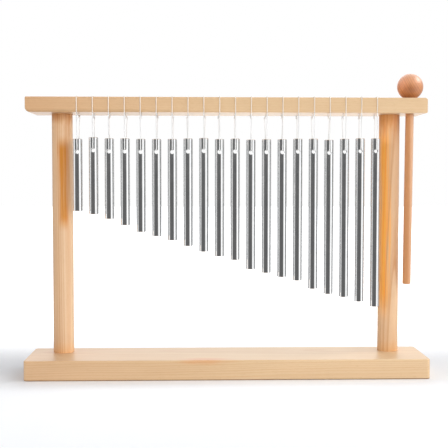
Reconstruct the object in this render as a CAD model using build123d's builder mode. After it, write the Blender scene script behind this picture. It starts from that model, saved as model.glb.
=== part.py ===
from build123d import *
import math
import os

# Table-top bar chimes. Twenty hollow metal tubes, cut to rising lengths, hang on loops of nylon
# cord from a wooden bar. Two round posts carry the bar over a base board, and a ball mallet is
# kept in a hole at the bar's right end.
# Millimetres. X runs along the row, Y from the player's side to the back, Z up. The origin is
# the middle of the base board's underside.

# ---- Driving dimensions ----

# Boards
board_length = 382.0
base_depth = 66.0
base_thickness = 19.0
base_corner_radius = 3.5
base_top_round = 1.2
base_bottom_round = 0.6
bar_depth = 46.0
bar_thickness = 14.5
bar_arris_round = 0.8
bar_bottom_left_round = 4.5
bar_bottom_right_round = 1.2
bar_top_right_round = 2.5
bar_top_left_round = 1.2

# Posts
post_diameter = 20.0
post_spacing = 320.0
post_from_back = 18.0
post_showing = 232.5
seat_in_base = 6.0
seat_in_bar = 7.0
seat_gap = 0.05

# Screws through the base into the posts
screw_length = 35.0
screw_shank_radius = 2.0
screw_head_radius = 4.0
screw_head_height = 2.2
screw_tip_length = 4.0
screw_sunk = 0.4
screw_gap = 0.1
screw_cross_width = 1.0
screw_cross_length = 4.4
screw_cross_depth = 1.4

# Chimes
chime_pitch = 15.0
tube_diameter = 9.0
tube_wall = 1.0
tube_end_chamfer = 0.25
tube_behind_bar_front = 7.5
cross_hole_radius = 2.1
cross_hole_below_top = 12.2
# Length of each tube, and how far its top hangs under the bar, from left to right. The loops are
# tied by hand, so the hang varies by a millimetre or so.
tube_lengths = [68.5, 73, 76.5, 82.5, 88.5, 92.5, 96.5, 102.5, 108.5, 112,
                116, 124, 128, 132, 136, 144, 148, 152, 157, 162]
tube_hangs = [25, 23.5, 24.5, 24.5, 25, 25, 25, 24.5, 24, 25,
              24.5, 25.5, 25, 25, 24.5, 24.5, 25.5, 24.5, 24, 24]

# Cords
cord_radius = 0.45
cord_gap = 0.05
cord_hole_radius = 1.1
cord_hole_behind_front = 15.5
cord_bend_radius = 0.9
cord_beside_tube = 0.9
cord_below_bar = 0.3
knot_radius = 1.15
knot_below_bar = 1.9

# Mallet
mallet_x = 177.2
mallet_behind_front = 15.0
mallet_lean = 0.5
mallet_hole_radius = 4.4
head_radius = 12.5
stick_radius = 4.0
stick_below_head_centre = 191.5
stick_into_head = 4.0
stick_end_round = 0.8
head_above_hole_rim = 0.1

# ---- Places that follow from them ----

base_front = -base_depth / 2
bar_back = base_depth / 2
bar_front = bar_back - bar_depth
bar_bottom = base_thickness + post_showing
bar_top = bar_bottom + bar_thickness
post_y = bar_back - post_from_back
post_xs = [-post_spacing / 2, post_spacing / 2]
chime_count = len(tube_lengths)
chime_xs = [(number - (chime_count - 1) / 2) * chime_pitch for number in range(chime_count)]
tube_y = bar_front + tube_behind_bar_front
cord_hole_y = bar_front + cord_hole_behind_front
cord_front_y = bar_front - cord_radius - cord_gap
pass_above_hole_centre = cross_hole_radius - cord_radius - 2 * cord_gap
mallet_y = bar_front + mallet_behind_front

os.makedirs("parts", exist_ok=True)


def save(builder, name):
    """Label a finished piece and write it as one STEP file."""
    builder.part.label = name
    export_step(builder.part, f"parts/{name}.step")


# ---- Base board: sockets for the posts on top, countersunk screw holes below ----

with BuildPart() as base_board:
    with BuildSketch():
        RectangleRounded(board_length, base_depth, base_corner_radius)
    extrude(amount=base_thickness)
    fillet(base_board.faces().sort_by(Axis.Z)[-1].edges(), base_top_round)
    fillet(base_board.faces().sort_by(Axis.Z)[0].edges(), base_bottom_round)
    with BuildSketch(Plane.XY.offset(base_thickness - seat_in_base)):
        with Locations(*[(x, post_y) for x in post_xs]):
            Circle(post_diameter / 2 + seat_gap)
    extrude(amount=seat_in_base, mode=Mode.SUBTRACT)
    for x in post_xs:
        with BuildSketch(Plane((x, post_y, 0))):
            Circle(screw_head_radius + screw_gap)
        extrude(amount=screw_sunk, mode=Mode.SUBTRACT)
        with BuildSketch(Plane((x, post_y, screw_sunk))):
            Circle(screw_head_radius + screw_gap)
        with BuildSketch(Plane((x, post_y, screw_sunk + screw_head_height))):
            Circle(screw_shank_radius + screw_gap)
        loft(mode=Mode.SUBTRACT)
        with BuildSketch(Plane((x, post_y, 0))):
            Circle(screw_shank_radius + screw_gap)
        extrude(amount=base_thickness, mode=Mode.SUBTRACT)
save(base_board, "base_board")


# ---- Top bar: post sockets below, one cord hole for each chime, and the mallet's hole ----

with BuildPart() as top_bar:
    with BuildSketch(Plane.XZ.offset(-bar_back)):
        with BuildLine():
            FilletPolyline(
                (-board_length / 2, bar_bottom),
                (board_length / 2, bar_bottom),
                (board_length / 2, bar_top),
                (-board_length / 2, bar_top),
                radius=[
                    bar_bottom_left_round,
                    bar_bottom_right_round,
                    bar_top_right_round,
                    bar_top_left_round,
                ],
                close=True,
            )
        make_face()
    extrude(amount=bar_depth)
    fillet(top_bar.faces().sort_by(Axis.Y)[0].edges(), bar_arris_round)
    fillet(top_bar.faces().sort_by(Axis.Y)[-1].edges(), bar_arris_round)
    with BuildSketch(Plane.XY.offset(bar_bottom)):
        with Locations(*[(x, post_y) for x in post_xs]):
            Circle(post_diameter / 2 + seat_gap)
    extrude(amount=seat_in_bar, mode=Mode.SUBTRACT)
    with Locations(*[(x, cord_hole_y, bar_top) for x in chime_xs]):
        Hole(cord_hole_radius)
    with Locations((mallet_x, mallet_y, bar_top)):
        Hole(mallet_hole_radius)
save(top_bar, "top_bar")


# ---- Posts: round dowels with a pilot hole for the screw ----

for x, name in zip(post_xs, ("left_post", "right_post")):
    post_bottom = base_thickness - seat_in_base
    post_length = seat_in_base + post_showing + seat_in_bar
    pilot_depth = screw_sunk + screw_length + screw_gap - post_bottom
    with BuildPart() as post:
        with BuildSketch(Plane((x, post_y, post_bottom))):
            Circle(post_diameter / 2)
        extrude(amount=post_length)
        with BuildSketch(Plane((x, post_y, post_bottom))):
            Circle(screw_shank_radius + screw_gap)
        extrude(amount=pilot_depth, mode=Mode.SUBTRACT)
    save(post, name)


# ---- Base screws: countersunk wood screws with a cross recess, heads down ----

with BuildPart() as screw:
    with BuildSketch(Plane.XZ):
        with BuildLine():
            Polyline(
                (0, screw_sunk),
                (screw_head_radius, screw_sunk),
                (screw_shank_radius, screw_sunk + screw_head_height),
                (screw_shank_radius, screw_sunk + screw_length - screw_tip_length),
                (0, screw_sunk + screw_length),
                close=True,
            )
        make_face()
    revolve(axis=Axis.Z)
    with BuildSketch(Plane.XY.offset(screw_sunk)):
        Rectangle(screw_cross_length, screw_cross_width)
        Rectangle(screw_cross_width, screw_cross_length)
    extrude(amount=screw_cross_depth, mode=Mode.SUBTRACT)

with BuildPart() as base_screws:
    with Locations(*[(x, post_y, 0) for x in post_xs]):
        add(screw.part)
save(base_screws, "base_screws")


# ---- Cord wraps: the still part of every loop, up the bar's front, over its top and down the hole ----

with BuildPart() as cord_wrap:
    wrap_top = bar_top + cord_radius + cord_gap
    with BuildLine() as wrap_line:
        FilletPolyline(
            (0, cord_front_y, bar_bottom),
            (0, cord_front_y, wrap_top),
            (0, cord_hole_y, wrap_top),
            (0, cord_hole_y, bar_bottom),
            radius=[bar_arris_round + cord_radius + cord_gap, cord_bend_radius],
        )
    with BuildSketch(Plane(origin=wrap_line.line @ 0, z_dir=wrap_line.line % 0)):
        Circle(cord_radius)
    sweep()

with BuildPart() as cord_wraps:
    with Locations(*[(x, 0, 0) for x in chime_xs]):
        add(cord_wrap.part)
save(cord_wraps, "cord_wraps")


# ---- Chimes: a tube with a cross hole, and the hanging part of the loop that goes through it ----

for number in range(chime_count):
    x = chime_xs[number]
    tube_top = bar_bottom - tube_hangs[number]
    hole_z = tube_top - cross_hole_below_top
    pass_z = hole_z + pass_above_hole_centre
    strand_top = bar_bottom - cord_below_bar
    strand_offset = tube_diameter / 2 + cord_beside_tube

    with BuildPart() as tube:
        with BuildSketch(Plane((x, tube_y, tube_top - tube_lengths[number]))):
            Circle(tube_diameter / 2)
            Circle(tube_diameter / 2 - tube_wall, mode=Mode.SUBTRACT)
        extrude(amount=tube_lengths[number])
        chamfer(tube.edges().filter_by(GeomType.CIRCLE), tube_end_chamfer)
        with Locations(Plane(origin=(x, tube_y, hole_z), z_dir=(0, -1, 0))):
            Hole(cross_hole_radius)
    save(tube, f"tube_{number + 1:02d}")

    with BuildPart() as cord:
        with BuildLine() as loop_line:
            FilletPolyline(
                (x, cord_front_y, strand_top),
                (x, tube_y - strand_offset, pass_z),
                (x, tube_y + strand_offset, pass_z),
                (x, cord_hole_y, strand_top),
                radius=cord_bend_radius,
            )
        with BuildSketch(Plane(origin=loop_line.line @ 0, z_dir=loop_line.line % 0)):
            Circle(cord_radius)
        sweep()
        with Locations((x, cord_hole_y, bar_bottom - knot_below_bar)):
            Sphere(knot_radius)
    save(cord, f"cord_{number + 1:02d}")


# ---- Mallet: a turned ball on a stick, standing in its hole and leaning a little to the left ----

head_height = math.sqrt(head_radius**2 - mallet_hole_radius**2) + head_above_hole_rim
mallet_plane = Plane(
    origin=(mallet_x, mallet_y, bar_top + head_height),
    x_dir=(math.cos(math.radians(mallet_lean)), 0, -math.sin(math.radians(mallet_lean))),
    z_dir=(math.sin(math.radians(mallet_lean)), 0, math.cos(math.radians(mallet_lean))),
)

with BuildPart() as mallet_head:
    with Locations(mallet_plane):
        Sphere(head_radius)
    with BuildSketch(mallet_plane.offset(-head_radius)):
        Circle(stick_radius + seat_gap)
    extrude(amount=head_radius + stick_into_head, mode=Mode.SUBTRACT)
save(mallet_head, "mallet_head")

with BuildPart() as mallet_stick:
    with BuildSketch(mallet_plane.offset(-stick_below_head_centre)):
        Circle(stick_radius)
    extrude(amount=stick_below_head_centre + stick_into_head)
    fillet(mallet_stick.edges().filter_by(GeomType.CIRCLE).sort_by(Axis.Z)[0], stick_end_round)
save(mallet_stick, "mallet_stick")
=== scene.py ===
import math

import bpy
from mathutils import Matrix, Vector


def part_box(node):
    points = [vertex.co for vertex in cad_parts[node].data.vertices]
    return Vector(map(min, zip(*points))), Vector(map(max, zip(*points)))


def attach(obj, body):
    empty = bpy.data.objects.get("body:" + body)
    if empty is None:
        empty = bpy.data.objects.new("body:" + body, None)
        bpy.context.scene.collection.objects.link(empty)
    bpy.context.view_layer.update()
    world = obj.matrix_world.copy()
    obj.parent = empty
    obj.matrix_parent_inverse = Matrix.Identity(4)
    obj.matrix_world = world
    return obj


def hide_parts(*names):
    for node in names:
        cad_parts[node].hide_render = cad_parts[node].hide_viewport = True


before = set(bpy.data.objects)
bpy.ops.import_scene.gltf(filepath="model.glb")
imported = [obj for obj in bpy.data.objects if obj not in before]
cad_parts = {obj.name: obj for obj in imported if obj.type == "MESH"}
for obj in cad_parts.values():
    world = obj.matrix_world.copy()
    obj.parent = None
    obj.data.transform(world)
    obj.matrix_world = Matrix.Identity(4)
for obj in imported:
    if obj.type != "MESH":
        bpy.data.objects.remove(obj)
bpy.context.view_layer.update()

# The looks of a table-top bar chime: pine stand, twenty metal tubes on nylon loops, beech mallet.
# Metres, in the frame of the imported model: X along the row, Y to the back, Z up.

MM = 0.001


# ---- Camera: in front, a little left of the middle, level with the tubes' middle ----

CAMERA_PLACE = Vector((-0.02877, -0.86032, 0.18520))
CAMERA_TURN_RIGHT = math.radians(1.715)
CAMERA_LOOK_DOWN = math.radians(2.665)
CAMERA_ROLL = math.radians(0.033)
CAMERA_LENS = 71.64


def make_camera():
    data = bpy.data.cameras.new("camera")
    data.lens = CAMERA_LENS
    data.sensor_width = 36.0
    data.clip_start = 0.02
    data.clip_end = 50.0
    camera = bpy.data.objects.new("camera", data)
    bpy.context.scene.collection.objects.link(camera)
    forward = Vector((
        math.sin(CAMERA_TURN_RIGHT) * math.cos(CAMERA_LOOK_DOWN),
        math.cos(CAMERA_TURN_RIGHT) * math.cos(CAMERA_LOOK_DOWN),
        -math.sin(CAMERA_LOOK_DOWN),
    ))
    right = Vector((math.cos(CAMERA_TURN_RIGHT), -math.sin(CAMERA_TURN_RIGHT), 0.0))
    up = right.cross(forward)
    rolled_right = right * math.cos(CAMERA_ROLL) + up * math.sin(CAMERA_ROLL)
    rolled_up = up * math.cos(CAMERA_ROLL) - right * math.sin(CAMERA_ROLL)
    turn = Matrix((rolled_right, rolled_up, -forward)).transposed()
    camera.matrix_world = Matrix.Translation(CAMERA_PLACE) @ turn.to_4x4()
    bpy.context.scene.camera = camera


make_camera()


# ---- Small helpers for node materials ----


class Graph:
    """A material's nodes. The methods add nodes and return the output to go on with."""

    def __init__(self, name):
        self.material = bpy.data.materials.new(name)
        self.material.use_nodes = True
        self.tree = self.material.node_tree
        self.tree.nodes.clear()
        self.output = self.tree.nodes.new("ShaderNodeOutputMaterial")
        self.shader = self.tree.nodes.new("ShaderNodeBsdfPrincipled")
        self.tree.links.new(self.shader.outputs[0], self.output.inputs["Surface"])

    def put(self, socket, value):
        """Link a socket to another node's output, or set it to a plain value."""
        if isinstance(value, bpy.types.NodeSocket):
            self.tree.links.new(value, socket)
        else:
            socket.default_value = value

    def place(self):
        """The point in the object's own space, in metres."""
        return self.tree.nodes.new("ShaderNodeTexCoord").outputs["Object"]

    def math(self, operation, first, second=0.0, third=0.0, clamp=False):
        node = self.tree.nodes.new("ShaderNodeMath")
        node.operation = operation
        node.use_clamp = clamp
        for socket, value in zip(node.inputs, (first, second, third)):
            self.put(socket, value)
        return node.outputs[0]

    def vector(self, operation, first, second):
        node = self.tree.nodes.new("ShaderNodeVectorMath")
        node.operation = operation
        self.put(node.inputs[0], first)
        self.put(node.inputs[1], second)
        return node.outputs[0]

    def length(self, vector):
        node = self.tree.nodes.new("ShaderNodeVectorMath")
        node.operation = "LENGTH"
        self.put(node.inputs[0], vector)
        return node.outputs["Value"]

    def split(self, vector):
        node = self.tree.nodes.new("ShaderNodeSeparateXYZ")
        self.put(node.inputs[0], vector)
        return node.outputs[0], node.outputs[1], node.outputs[2]

    def join(self, x, y, z):
        node = self.tree.nodes.new("ShaderNodeCombineXYZ")
        for socket, value in zip(node.inputs, (x, y, z)):
            self.put(socket, value)
        return node.outputs[0]

    def scaled_place(self, x_scale, y_scale, z_scale):
        """The point in the object's own space, with each axis stretched by its own number."""
        x, y, z = self.split(self.place())
        return self.join(
            self.math("MULTIPLY", x, x_scale),
            self.math("MULTIPLY", y, y_scale),
            self.math("MULTIPLY", z, z_scale),
        )

    def noise(self, vector, scale=1.0, detail=2.0, roughness=0.5):
        node = self.tree.nodes.new("ShaderNodeTexNoise")
        node.noise_dimensions = "3D"
        self.put(node.inputs["Vector"], vector)
        node.inputs["Scale"].default_value = scale
        node.inputs["Detail"].default_value = detail
        node.inputs["Roughness"].default_value = roughness
        return node.outputs[0]

    def ramp(self, factor, stops, interpolation="LINEAR"):
        """A ramp of tones. Each stop is (place, (red, green, blue))."""
        node = self.tree.nodes.new("ShaderNodeValToRGB")
        self.put(node.inputs[0], factor)
        node.color_ramp.interpolation = interpolation
        elements = node.color_ramp.elements
        while len(elements) < len(stops):
            elements.new(0.5)
        for element, (where, tone) in zip(elements, stops):
            element.position = where
            element.color = (*tone, 1.0)
        return node.outputs[0]

    def mix(self, factor, first, second, blend="MIX"):
        node = self.tree.nodes.new("ShaderNodeMix")
        node.data_type = "RGBA"
        node.blend_type = blend
        self.put(node.inputs["Factor"], factor)
        self.put(node.inputs[6], first)
        self.put(node.inputs[7], second)
        return node.outputs[2]

    def bump(self, height, distance, strength):
        node = self.tree.nodes.new("ShaderNodeBump")
        node.inputs["Strength"].default_value = strength
        node.inputs["Distance"].default_value = distance
        self.put(node.inputs["Height"], height)
        return node.outputs[0]

    def finish_with(self, **sockets):
        for name, value in sockets.items():
            self.put(self.shader.inputs[name.replace("_", " ")], value)
        return self.material


def colour(red, green, blue):
    """A colour in the numbers a paint program shows, 0 to 255, as linear light. It holds for
    numbers above 10, as all of them are here."""
    return tuple(((value / 255 + 0.055) / 1.055) ** 2.4 for value in (red, green, blue))


WHITE = (1.0, 1.0, 1.0)
BLACK = (0.0, 0.0, 0.0)


# ---- Wood ----

ALONG_X, ALONG_Z = 0, 2


class Wood(Graph):
    """Solid wood: growth rings round a pith line, stretched along the grain, so that every face of
    a piece shows the right cut of the same tree."""

    def __init__(self, name, grain, seed):
        super().__init__(name)
        x, y, self.up = self.split(self.place())
        along_x, along_z = (x, y, self.up), (self.up, x, y)
        self.along, self.side, self.depth = along_x if grain == ALONG_X else along_z
        self.seed = seed

    def stretched(self, along_scale, cross_scale, shift=0.0):
        """The point, stretched along the grain and across it, for a noise."""
        seed = self.seed
        return self.join(
            self.math("MULTIPLY_ADD", self.along, along_scale, seed + shift),
            self.math("MULTIPLY_ADD", self.side, cross_scale, seed * 0.7 + shift),
            self.math("MULTIPLY_ADD", self.depth, cross_scale, seed * 1.3 - shift),
        )

    def centred(self, value, size):
        """A noise's value as a number round zero."""
        return self.math("MULTIPLY", self.math("SUBTRACT", value, 0.5), size)

    def rising(self, value, start, stop):
        """0 at the start, 1 at the stop."""
        return self.math("MULTIPLY", self.math("SUBTRACT", value, start), 1.0 / (stop - start), clamp=True)

    def tinted(self, tone, tint, share=1.0):
        return self.mix(share, tone, tint, "MULTIPLY")

    def years(self, pith, drift, ring, wander):
        """How many years of growth lie between the pith line and the point."""
        stray_side = self.centred(self.noise(self.stretched(6.0, 16.0), 1.0, 2.0), wander * 2)
        stray_depth = self.centred(self.noise(self.stretched(6.0, 16.0, 7.3), 1.0, 2.0), wander * 2)
        side_pith = self.math("MULTIPLY_ADD", self.along, drift[0], pith[0])
        depth_pith = self.math("MULTIPLY_ADD", self.along, drift[1], pith[1])
        from_side = self.math("ADD", self.math("SUBTRACT", self.side, side_pith), stray_side)
        from_depth = self.math("ADD", self.math("SUBTRACT", self.depth, depth_pith), stray_depth)
        distance = self.length(self.join(0.0, from_side, from_depth))
        return self.math("DIVIDE", distance, ring)

    def late_wood(self, years):
        """The dark part of each year's growth, 0 to 1."""
        uneven = self.math("MULTIPLY", self.noise(self.join(years, self.seed, 0.5), 0.45, 1.0), 2.2)
        phase = self.math("FRACT", self.math("ADD", years, uneven))
        return self.ramp(phase, (
            (0.0, (0.05, 0.05, 0.05)),
            (0.40, (0.12, 0.12, 0.12)),
            (0.78, (0.60, 0.60, 0.60)),
            (0.90, WHITE),
            (1.0, (0.05, 0.05, 0.05)),
        ), "EASE")

    # Painted shade: one end of the piece darker, fading out along the grain, for the light falling off
    # towards that end.
    def add_painted_end_shade(self, tone, start, stop, tint):
        share = self.rising(self.along, start, stop)
        return self.tinted(tone, self.ramp(share, ((0.0, tint), (1.0, WHITE))))

    # Painted light and shade: the piece darker on one side and lighter on the other, as the light falls
    # across it.
    def add_painted_side_shading(self, tone, start, stop, low_tint, high_tint):
        share = self.rising(self.side, start, stop)
        return self.tinted(tone, self.ramp(share, ((0.0, low_tint), (1.0, high_tint))))

    # Painted shadow: a darker, more orange streak along the grain where a hanging tube shades the piece.
    def add_painted_shadow_streak(self, tone, middle, half_width, start, stop, tint):
        aside = self.math("ABSOLUTE", self.math("SUBTRACT", self.side, middle))
        aside = self.math("DIVIDE", aside, half_width)
        ragged = self.centred(self.noise(self.stretched(14.0, 420.0, 5.0), 1.0, 3.0), 1.6)
        core = self.ramp(self.math("ADD", aside, ragged), ((0.0, WHITE), (1.0, BLACK)), "EASE")
        lengthways = self.math("ABSOLUTE", self.math("SUBTRACT", self.along, (start + stop) / 2))
        lengthways = self.math("DIVIDE", lengthways, (stop - start) / 2)
        ends = self.ramp(lengthways, ((0.66, WHITE), (1.0, BLACK)), "EASE")
        return self.tinted(tone, (*tint, 1.0), self.math("MULTIPLY", core, ends))

    # A patch of another tone: on the base it is a reddish mark in the wood, on the other pieces painted
    # shade.
    def add_stain_and_shade(self, tone, centre, size, tint):
        away = self.vector("SUBTRACT", self.place(), centre)
        away = self.length(self.vector("DIVIDE", away, size))
        ragged = self.centred(self.noise(self.stretched(60.0, 300.0, 2.0), 1.0, 3.0), 0.9)
        spread = self.ramp(self.math("ADD", away, ragged), ((0.2, tint), (1.0, WHITE)), "EASE")
        return self.tinted(tone, spread)

    # Painted shade: another tone up to a height over the floor, at the bottom of the piece.
    def add_painted_foot_shade(self, tone, height, tint):
        above = self.ramp(self.math("DIVIDE", self.up, height), ((0.6, tint), (1.0, WHITE)))
        return self.tinted(tone, above)


def wood(
        name, grain, pith, drift, ring, wander, early, late, line, seed,
        rough=0.36, coat=0.25, coat_ior=1.5, coat_rough=0.22,
        painted_end_shade=None, painted_side_shading=None, painted_shadow_streak=None, stain_and_shade=None, painted_foot_shade=None):
    """The material of one wooden piece.

    grain: the axis the grain runs along. pith: the two cross coordinates of the pith line, and
    drift: how far it moves aside for each metre along the grain. ring: the width of one year's
    growth, and wander: how far the rings stray. early, late: the tones of early and late wood, and
    line: how strongly the late wood shows.

    painted_end_shade: (start, stop, tint), painted shade: a darker tint at the end that lies away
    from the light, fading out along the grain. painted_side_shading: (start, stop, tint, tint),
    painted light and shade: two tones side by side, for the shaded and the lit side.
    painted_shadow_streak: (middle, half width, start, stop, tint), a painted shadow along the
    grain, where a hanging tube shades the piece. stain_and_shade: (centre, size, tint), a patch of
    another tone: a real reddish mark in the wood on the base, painted shade on the other pieces.
    painted_foot_shade: (height, tint), painted shade up to that height over the floor, at the
    bottom of the piece.
    """
    g = Wood(name, grain, seed)
    years = g.years(pith, drift, ring, wander)
    late_wood = g.late_wood(years)
    one_year = g.noise(g.join(seed, g.math("FLOOR", years), 0.5), 0.9, 1.0)
    year_strength = g.math("MULTIPLY_ADD", one_year, 1.2, 0.1)
    fibre = g.noise(g.stretched(38.0, 1700.0), 1.0, 3.0, 0.62)
    pore = g.noise(g.stretched(240.0, 4200.0), 1.0, 2.0, 0.5)
    patch = g.noise(g.stretched(9.0, 55.0, 3.1), 1.0, 2.0)
    share = g.math("MULTIPLY", g.math("MULTIPLY", late_wood, year_strength), line)
    share = g.math("ADD", share, g.centred(fibre, 0.30), clamp=True)
    tone = g.mix(share, (*early, 1.0), (*late, 1.0))
    tone = g.tinted(tone, g.ramp(patch, ((0.30, (0.93, 0.90, 0.86)), (0.70, WHITE))), 0.75)
    tone = g.tinted(tone, g.ramp(pore, ((0.30, (0.82, 0.74, 0.64)), (0.42, WHITE))), 0.45)
    if painted_end_shade:
        tone = g.add_painted_end_shade(tone, *painted_end_shade)
    if painted_side_shading:
        tone = g.add_painted_side_shading(tone, *painted_side_shading)
    if painted_shadow_streak:
        tone = g.add_painted_shadow_streak(tone, *painted_shadow_streak)
    if stain_and_shade:
        tone = g.add_stain_and_shade(tone, *stain_and_shade)
    if painted_foot_shade:
        tone = g.add_painted_foot_shade(tone, *painted_foot_shade)
    height = g.math("ADD", g.math("MULTIPLY", fibre, 0.6), g.math("MULTIPLY", pore, 0.4))
    height = g.math("SUBTRACT", height, g.math("MULTIPLY", late_wood, 0.15))
    return g.finish_with(
        Base_Color=tone,
        Roughness=g.math("MULTIPLY_ADD", fibre, 0.20, rough),
        Normal=g.bump(height, 0.05 * MM, 0.45),
        Coat_Weight=coat,
        Coat_Roughness=coat_rough,
        Coat_IOR=coat_ior,
    )


PINE_EARLY = colour(227, 195, 154)
PINE_LATE = colour(205, 154, 103)
POST_EARLY = colour(232, 196, 157)
POST_LATE = colour(205, 141, 83)
BEECH_EARLY = colour(214, 159, 117)
BEECH_LATE = colour(190, 126, 84)
BALL_EARLY = colour(211, 139, 83)
BALL_LATE = colour(146, 80, 36)

bar_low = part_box("top_bar")[0]
base_low, base_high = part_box("base_board")
left_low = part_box("left_post")[0]
right_low, right_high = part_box("right_post")
left_tube_low, left_tube_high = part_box("tube_01")
right_tube_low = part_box("tube_20")[0]
stick_low, stick_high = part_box("mallet_stick")
stick_middle = (stick_low.x + stick_high.x) / 2
head_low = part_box("mallet_head")[0]

# Painted shade: a warmer, darker tone at the bottom of both posts, where they stand on the base.
POST_FOOT_SHADE = (0.030, (1.02, 0.88, 0.68))

base_pine = wood(
    "base_pine", ALONG_X, pith=(0.015, -0.060), drift=(0.01, 0.02), ring=2.0 * MM, wander=0.002,
    early=PINE_EARLY, late=PINE_LATE, line=0.45, seed=3.1, rough=0.42, coat=0.40, coat_rough=0.32,
    # Painted shade: the left end of the board darker, away from the light.
    painted_end_shade=(base_low.x, 0.0, (0.93, 0.86, 0.83)),
    # A reddish mark in the wood at the front of the board's top.
    stain_and_shade=((-0.0215, base_low.y + 0.003, base_high.z), (0.032, 0.013, 0.0060), (1.0, 0.79, 0.66)),
    # Painted shade: a dark line along the bottom edge, where the board meets the floor.
    painted_foot_shade=(1.1 * MM, (0.38, 0.30, 0.22)))
bar_pine = wood(
    "bar_pine", ALONG_X, pith=(-0.035, bar_low.z - 0.055), drift=(0.0, 0.012), ring=1.5 * MM,
    wander=0.0015, early=PINE_EARLY, late=PINE_LATE, line=0.4, seed=11.7,
    # Painted shade: the left end of the bar darker, away from the light.
    painted_end_shade=(bar_low.x, 0.0, (0.88, 0.76, 0.69)),
    # Painted shade on the underside of the bar at its left end.
    stain_and_shade=((bar_low.x + 0.04, bar_low.y + 0.02, bar_low.z), (0.17, 0.06, 0.004), (0.80, 0.78, 0.72)))
left_pine = wood(
    "left_post_pine", ALONG_Z, pith=(left_low.x - 0.006, left_low.y + 0.030), drift=(0.0, 0.003),
    ring=1.25 * MM, wander=0.0005, early=POST_EARLY, late=POST_LATE, line=0.8, seed=5.3,
    # Painted shadow of the first tubes: a dark orange streak down the right of the post.
    painted_shadow_streak=(left_low.x + 0.0117, 0.0070, left_tube_low.z - 0.022, left_tube_high.z + 0.006,
            (0.84, 0.48, 0.09)),
    # Painted light and shade: the left side of the post darker, the right side lighter.
    painted_side_shading=(left_low.x + 0.005, left_low.x + 0.018, (0.88, 0.84, 0.80), (1.20, 1.30, 1.42)),
    # Painted shade at the top of the post, under the bar.
    stain_and_shade=((left_low.x + 0.008, left_low.y + 0.010, bar_low.z), (0.030, 0.030, 0.013),
           (0.83, 0.58, 0.33)),
    # Painted shade at the foot of the post.
    painted_foot_shade=POST_FOOT_SHADE)
right_pine = wood(
    "right_post_pine", ALONG_Z, pith=(right_low.x + 0.006, right_low.y + 0.0185), drift=(0.0, -0.012),
    ring=1.5 * MM, wander=0.0005, early=POST_EARLY, late=POST_LATE, line=0.8, seed=8.9,
    # Painted shadow of the last tubes: an orange streak down the left of the post.
    painted_shadow_streak=(right_low.x + 0.0036, 0.0082, right_tube_low.z - 0.020, right_high.z - 0.008,
            (1.44, 0.94, 0.24)),
    # Painted shade at the top of the post, under the bar.
    stain_and_shade=((right_low.x + 0.006, right_low.y + 0.010, bar_low.z), (0.026, 0.030, 0.026),
           (0.90, 0.60, 0.29)),
    # Painted shade at the foot of the post.
    painted_foot_shade=POST_FOOT_SHADE)
stick_beech = wood(
    "mallet_stick_beech", ALONG_Z, pith=(stick_low.x - 0.050, stick_low.y + 0.020), drift=(0.0, 0.0),
    ring=1.9 * MM, wander=0.001, early=BEECH_EARLY, late=BEECH_LATE, line=0.35, seed=2.2, rough=0.34,
    # Painted light and shade: the left of the stick darker, the right lighter.
    painted_side_shading=(stick_middle - 0.7 * MM, stick_middle + 2.5 * MM, (0.94, 0.85, 0.69),
               (1.08, 1.25, 1.48)))
ball_beech = wood(
    "mallet_ball_beech", ALONG_Z, pith=(stick_low.x + 0.130, stick_low.y + 0.012), drift=(-0.6, 0.0),
    ring=2.0 * MM, wander=0.002, early=BALL_EARLY, late=BALL_LATE, line=0.7, seed=6.4, rough=0.30,
    coat=1.0, coat_ior=1.7, coat_rough=0.45,
    # Painted light: the left edge of the ball lighter.
    painted_side_shading=(head_low.x + 0.002, head_low.x + 0.010, (1.36, 1.25, 1.30), (0.97, 0.97, 0.97)),
    # Painted shade at the bottom of the ball.
    stain_and_shade=((head_low.x + 0.010, head_low.y, head_low.z + 0.006), (0.012, 0.014, 0.010),
           (0.76, 0.64, 0.48)))


# ---- Metal and nylon ----


def aluminium():
    """Bright drawn tube: lines along the tube, and faint handling marks."""
    g = Graph("tube_aluminium")
    drawn = g.noise(g.scaled_place(5200.0, 5200.0, 60.0), 1.0, 3.0, 0.6)
    smudge = g.noise(g.scaled_place(260.0, 260.0, 110.0), 1.0, 4.0, 0.65)
    return g.finish_with(
        Base_Color=g.ramp(smudge, ((0.3, (0.80, 0.81, 0.82)), (0.7, (0.90, 0.90, 0.90)))),
        Metallic=1.0,
        Roughness=g.math("ADD", g.math("MULTIPLY", smudge, 0.14), g.math("MULTIPLY", drawn, 0.10)),
        Normal=g.bump(drawn, 0.008 * MM, 0.35),
    )


def nylon(name, tint):
    """Milky fishing line. The tint is multiplied into its colour; for the cord on wood it is a painted
    warm tone, for the wood seen through the clear cord.
    """
    g = Graph(name)
    cloud = g.noise(g.scaled_place(3000.0, 900.0, 900.0), 1.0, 2.0)
    milky = g.ramp(cloud, ((0.3, (0.93, 0.93, 0.93)), (0.7, WHITE)))
    return g.finish_with(
        Base_Color=g.mix(1.0, milky, (*tint, 1.0), "MULTIPLY"),
        Roughness=g.math("ADD", 0.12, g.math("MULTIPLY", cloud, 0.2)),
        Transmission_Weight=0.12,
        Specular_IOR_Level=0.35,
        IOR=1.53,
        Normal=g.bump(cloud, 0.01 * MM, 0.4),
    )


def zinc():
    """Zinc-plated steel with a faint turned pattern and worn high spots."""
    g = Graph("screw_steel")
    mottle = g.noise(g.place(), 2200.0, 3.0, 0.6)
    return g.finish_with(
        Base_Color=g.ramp(mottle, ((0.3, (0.55, 0.55, 0.52)), (0.7, (0.72, 0.72, 0.70)))),
        Metallic=1.0,
        Roughness=g.math("ADD", 0.25, g.math("MULTIPLY", mottle, 0.2)),
        Normal=g.bump(mottle, 0.02 * MM, 0.4),
    )


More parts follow.
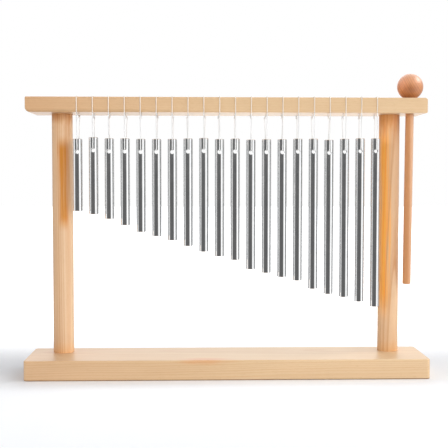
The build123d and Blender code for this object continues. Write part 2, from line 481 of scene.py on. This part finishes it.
FINISHES = {
    "base_board": base_pine,
    "top_bar": bar_pine,
    "left_post": left_pine,
    "right_post": right_pine,
    "mallet_head": ball_beech,
    "mallet_stick": stick_beech,
    "base_screws": zinc(),
}
tube_finish = aluminium()
cord_finish = nylon("nylon_cord", (1.0, 1.0, 0.99))
# Painted light: the cord lying on the bar gets a warm tint for the wood seen through the clear nylon.
wrap_finish_painted_warm = nylon("nylon_cord_painted_warm", (1.0, 0.90, 0.78))
for name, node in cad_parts.items():
    if name.startswith("tube"):
        finish = tube_finish
    elif name == "cord_wraps":
        finish = wrap_finish_painted_warm
    elif name.startswith("cord"):
        finish = cord_finish
    else:
        finish = FINISHES[name]
    for slot in node.material_slots:
        slot.material = finish


# ---- Nylon loops: one for each tube, tied with an overhand knot under its hole in the bar ----

# The upper half of an overhand knot, from its middle to its top end, in millimetres for a 0.9 mm
# cord. The lower half is the same half turned over. The tail is the cut end beside the knot.
HALF_KNOT = (
    (-0.6, 0.2, -0.6), (-1.2, 0.1, -1.1), (-1.7, -0.4, -1.6), (-1.6, -1.1, -2.3), (-0.9, -1.6, -2.1),
    (-0.3, -1.6, -1.3), (0.3, -1.4, -0.5), (0.6, -1.0, 0.4), (0.7, -0.7, 1.3), (0.9, -0.4, 2.2),
    (1.1, -0.1, 3.1),
)
KNOT = [(-x, y, -z) for x, y, z in reversed(HALF_KNOT)] + list(HALF_KNOT)
TAIL = ((0.1, 0.1, -0.4), (0.6, 0.5, -1.3), (1.0, 0.7, -2.2), (1.2, 0.7, -3.1))
# The knot is pulled tight, so it is drawn smaller, in a thinner line. Each one is turned on from
# the one before it, because they are tied by hand.
KNOT_SCALE = 0.66 * MM
KNOT_CORD_RADIUS = 0.32 * MM
KNOT_BELOW_BAR = 2.9 * MM
KNOT_TURN = 2.4
KNOT_STEPS = 4
KNOT_LEAD = 1.0 * MM
# As in the CAD.
CORD_RADIUS = 0.45 * MM
CAD_KNOT_RADIUS = 1.15 * MM
STRAND_BESIDE_TUBE = 0.9 * MM
# The loop's bends at the tube, and the short straight end where the cord goes into the bar.
BEND_SIZE = 1.3 * MM
BEND_STEPS = 5
STRAIGHT_END = 0.3 * MM
CORD_SIDES = 12


def rounded(points, radius):
    """The same line with each corner turned into a short curve."""
    line = [points[0]]
    for before, corner, after in zip(points, points[1:], points[2:]):
        start = corner + (before - corner).normalized() * radius
        stop = corner + (after - corner).normalized() * radius
        for step in range(BEND_STEPS + 1):
            share = step / BEND_STEPS
            line.append(start * (1 - share) ** 2 + corner * 2 * share * (1 - share) + stop * share**2)
    line.append(points[-1])
    return line


def smoothed(points, steps):
    """A smooth curve through the points."""
    line = []
    padded = [points[0] * 2 - points[1], *points, points[-1] * 2 - points[-2]]
    for a, b, c, d in zip(padded, padded[1:], padded[2:], padded[3:]):
        for step in range(steps):
            t = step / steps
            line.append((b * 2 + (c - a) * t + (a * 2 - b * 5 + c * 4 - d) * t**2
                         + (b * 3 - a - c * 3 + d) * t**3) / 2)
    line.append(points[-1])
    return line


def sweep(line, radii, vertices, faces):
    """Add a closed round cord along the line to the vertices and faces."""
    first = len(vertices)
    across = None
    for index, point in enumerate(line):
        ahead = line[min(index + 1, len(line) - 1)] - line[max(index - 1, 0)]
        ahead.normalize()
        if across is None:
            across = ahead.orthogonal().normalized()
        across = (across - ahead * across.dot(ahead)).normalized()
        sideways = ahead.cross(across)
        for side in range(CORD_SIDES):
            angle = math.tau * side / CORD_SIDES
            vertices.append(point + (across * math.cos(angle) + sideways * math.sin(angle)) * radii[index])
    for ring in range(len(line) - 1):
        for side in range(CORD_SIDES):
            low = first + ring * CORD_SIDES
            high = low + CORD_SIDES
            beside = (side + 1) % CORD_SIDES
            faces.append((low + side, low + beside, high + beside, high + side))
    last = first + (len(line) - 1) * CORD_SIDES
    faces.append(tuple(first + side for side in reversed(range(CORD_SIDES))))
    faces.append(tuple(last + side for side in range(CORD_SIDES)))


def loop_lines(number):
    """The middle lines of one loop and of its tail, and the loop's radius at each point."""
    low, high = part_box(f"cord_{number:02d}")
    tube_low, tube_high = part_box(f"tube_{number:02d}")
    x = (tube_low.x + tube_high.x) / 2
    tube_y = (tube_low.y + tube_high.y) / 2
    aside = (tube_high.y - tube_low.y) / 2 + STRAND_BESIDE_TUBE
    front_y = low.y + CORD_RADIUS
    hole_y = high.y - CAD_KNOT_RADIUS
    pass_z = low.z + CORD_RADIUS
    spin = Matrix.Rotation(KNOT_TURN * number, 3, "Z")
    knot_top = spin @ (Vector(KNOT[-1]) * KNOT_SCALE)
    knot_place = Vector((x - knot_top.x, hole_y - knot_top.y, high.z - KNOT_BELOW_BAR))
    knot = [knot_place + spin @ (Vector(point) * KNOT_SCALE) for point in KNOT]
    tail = [knot_place + spin @ (Vector(point) * KNOT_SCALE) for point in TAIL]
    hanging = rounded([
        Vector((x, front_y, high.z)),
        Vector((x, tube_y - aside, pass_z)),
        Vector((x, tube_y + aside, pass_z)),
        knot[0],
    ], BEND_SIZE)
    lead = knot[0] + (hanging[-2] - knot[0]).normalized() * KNOT_LEAD
    end = Vector((x, hole_y, high.z))
    curl = smoothed([lead, *knot, end - Vector((0.0, 0.0, STRAIGHT_END))], KNOT_STEPS)[KNOT_STEPS:]
    line = [*hanging[:-1], *curl, end]
    radii = [CORD_RADIUS] * (len(hanging) - 1) + [KNOT_CORD_RADIUS] * len(curl) + [CORD_RADIUS]
    return line, radii, smoothed(tail, KNOT_STEPS)


def make_loop(number):
    """The hanging part of one loop: down from the bar's front, through the tube, up to its knot."""
    cord = f"cord_{number:02d}"
    line, radii, tail = loop_lines(number)
    vertices, faces = [], []
    sweep(line, radii, vertices, faces)
    sweep(tail, [KNOT_CORD_RADIUS] * len(tail), vertices, faces)
    mesh = bpy.data.meshes.new(cord + "_loop")
    mesh.from_pydata([tuple(vertex) for vertex in vertices], [], faces)
    for face in mesh.polygons:
        face.use_smooth = len(face.vertices) == 4
    mesh.materials.append(cord_finish)
    loop = bpy.data.objects.new(cord + "_loop", mesh)
    bpy.context.scene.collection.objects.link(loop)
    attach(loop, cord)
    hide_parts(cord)


TUBE_COUNT = sum(name.startswith("tube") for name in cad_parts)
for number in range(1, TUBE_COUNT + 1):
    make_loop(number)


# ---- Floor and light ----

SQUARE = ((-1, -1), (1, -1), (1, 1), (-1, 1))
NEAR_FLOOR = 0.75
FAR_FLOOR = 6.0
# The paper is lit up to plain white by extra light: (where it starts, where it is full), in metres.
GLOW_BEHIND = (0.035, 0.25)
GLOW_IN_FRONT = (0.036, 0.075)
GLOW_FAR = (0.5, 0.74)
GLOW_IN_FRONT_LEVEL = 0.20


def paper(g, glow):
    """White paper with a faint tooth. It gives off the glow."""
    tooth = g.noise(g.place(), 900.0, 3.0)
    return g.finish_with(
        Base_Color=g.ramp(tooth, ((0.3, (0.93, 0.932, 0.94)), (0.7, (0.96, 0.962, 0.97)))),
        Roughness=0.9,
        Specular_IOR_Level=0.1,
        Emission_Color=glow,
        Emission_Strength=1.0,
    )


def near_paper():
    """Paper that glows behind the object, faintly in front of it, and fully well away from it."""
    g = Graph("floor_paper")
    place = g.place()
    y = g.split(place)[1]

    def rising(value, start, full):
        return g.math("MULTIPLY", g.math("SUBTRACT", value, start), 1.0 / (full - start), clamp=True)

    behind = rising(y, *GLOW_BEHIND)
    front = rising(g.math("MULTIPLY", y, -1.0), *GLOW_IN_FRONT)
    front = g.math("MULTIPLY", front, GLOW_IN_FRONT_LEVEL)
    far = rising(g.length(place), *GLOW_FAR)
    level = g.math("MAXIMUM", g.math("MULTIPLY", behind, behind), g.math("MAXIMUM", front, far))
    return paper(g, g.join(level, level, level))


def floor_piece(name, corners, faces, material):
    mesh = bpy.data.meshes.new(name)
    mesh.from_pydata([(x, y, 0.0) for x, y in corners], [], faces)
    mesh.materials.append(material)
    floor = bpy.data.objects.new(name, mesh)
    bpy.context.scene.collection.objects.link(floor)
    floor.visible_glossy = False
    return floor


def make_floor():
    """A square of paper under the object, and plain white paper all round it."""
    near = [(x * NEAR_FLOOR, y * NEAR_FLOOR) for x, y in SQUARE]
    far = [(x * FAR_FLOOR, y * FAR_FLOOR) for x, y in SQUARE]
    floor_piece("floor", near, [(0, 1, 2, 3)], near_paper())
    sides = [(side, 4 + side, 4 + (side + 1) % 4, (side + 1) % 4) for side in range(4)]
    far_paper = paper(Graph("floor_paper_far"), (*WHITE, 1.0))
    floor_piece("floor_far", near + far, sides, far_paper).visible_diffuse = False


# How bright the room looks in reflections, by direction: degrees from straight behind the camera,
# growing to the right.
ROOM = (
    (-180, 1.70), (-167, 1.70), (-160, 0.34), (-112, 0.34), (-103, 1.05), (-76, 1.15), (-63, 0.15),
    (0, 0.13), (24, 0.14), (36, 0.60), (46, 1.30), (70, 1.30), (84, 0.50), (160, 0.46), (167, 1.70),
    (180, 1.70),
)
CEILING_IN_REFLECTIONS = 1.8
# The room's walls go over into its ceiling between these two heights on a ball of radius 1.
CEILING_BLEND = (0.05, 0.60)
AMBIENT = (0.34, 0.36, 0.39)
LAMPS_AIM = Vector((0.0, 0.0, 0.16))


def make_world():
    """White for the camera and through clear nylon, an even soft light for matt surfaces, and for
    reflections a dark room behind the camera with a bright wall at each side."""
    world = bpy.data.worlds.new("studio")
    bpy.context.scene.world = world
    world.use_nodes = True
    nodes, links = world.node_tree.nodes, world.node_tree.links
    nodes.clear()

    def add(kind, *values):
        node = nodes.new(kind)
        for socket, value in zip(node.inputs, values):
            if isinstance(value, bpy.types.NodeSocket):
                links.new(value, socket)
            else:
                socket.default_value = value
        return node

    def calc(operation, *values):
        node = add("ShaderNodeMath", *values)
        node.operation = operation
        return node.outputs[0]

    direction = nodes.new("ShaderNodeTexCoord").outputs["Generated"]
    x, y, z = add("ShaderNodeSeparateXYZ", direction).outputs
    turn = calc("MULTIPLY_ADD", calc("ARCTAN2", x, calc("MULTIPLY", y, -1.0)), 0.5 / math.pi, 0.5)
    around = add("ShaderNodeValToRGB", turn)
    elements = around.color_ramp.elements
    while len(elements) < len(ROOM):
        elements.new(0.5)
    for element, (degrees, level) in zip(elements, ROOM):
        element.position = 0.5 + degrees / 360
        element.color = (level, level, level, 1.0)
    height = add("ShaderNodeMapRange", z, *CEILING_BLEND)
    mirrored = nodes.new("ShaderNodeMix")
    mirrored.data_type = "RGBA"
    links.new(height.outputs[0], mirrored.inputs["Factor"])
    links.new(around.outputs[0], mirrored.inputs[6])
    mirrored.inputs[7].default_value = (CEILING_IN_REFLECTIONS,) * 3 + (1.0,)
    rays = nodes.new("ShaderNodeLightPath").outputs
    seen = add("ShaderNodeBackground", (*WHITE, 1.0), 1.0).outputs[0]
    even = add("ShaderNodeBackground", (*AMBIENT, 1.0), 1.0).outputs[0]
    room = add("ShaderNodeBackground", mirrored.outputs[2], 1.0).outputs[0]
    for_light = add("ShaderNodeMixShader", rays["Is Glossy Ray"], even, room).outputs[0]
    straight = calc("MAXIMUM", rays["Is Camera Ray"], rays["Is Transmission Ray"])
    for_all = add("ShaderNodeMixShader", straight, for_light, seen).outputs[0]
    add("ShaderNodeOutputWorld", for_all)


def make_softbox(name, place, width, height, watts, tint=WHITE, mirrored=False):
    """A large lamp that is turned to the object. Unless it is mirrored, only matt surfaces see it."""
    data = bpy.data.lights.new(name, "AREA")
    data.shape = "RECTANGLE"
    data.size = width
    data.size_y = height
    data.energy = watts
    data.color = tint
    light = bpy.data.objects.new(name, data)
    light.location = place
    light.rotation_mode = "QUATERNION"
    light.rotation_quaternion = (LAMPS_AIM - Vector(place)).to_track_quat("-Z", "Y")
    light.visible_glossy = mirrored
    light.visible_transmission = False
    bpy.context.scene.collection.objects.link(light)


make_floor()
make_world()
make_softbox("right_softbox", (1.70, -2.55, 0.80), 2.90, 1.40, 42.5, tint=(1.0, 0.97, 0.93))
make_softbox("left_softbox", (-2.40, -1.68, 0.72), 1.50, 1.20, 23.0)
make_softbox("top_softbox", (2.40, -0.10, 2.30), 1.50, 1.50, 47.0, mirrored=True)
make_softbox("back_softbox", (0.30, 2.30, 1.90), 1.50, 1.20, 14.0)
bpy.context.scene.view_settings.view_transform = "Standard"
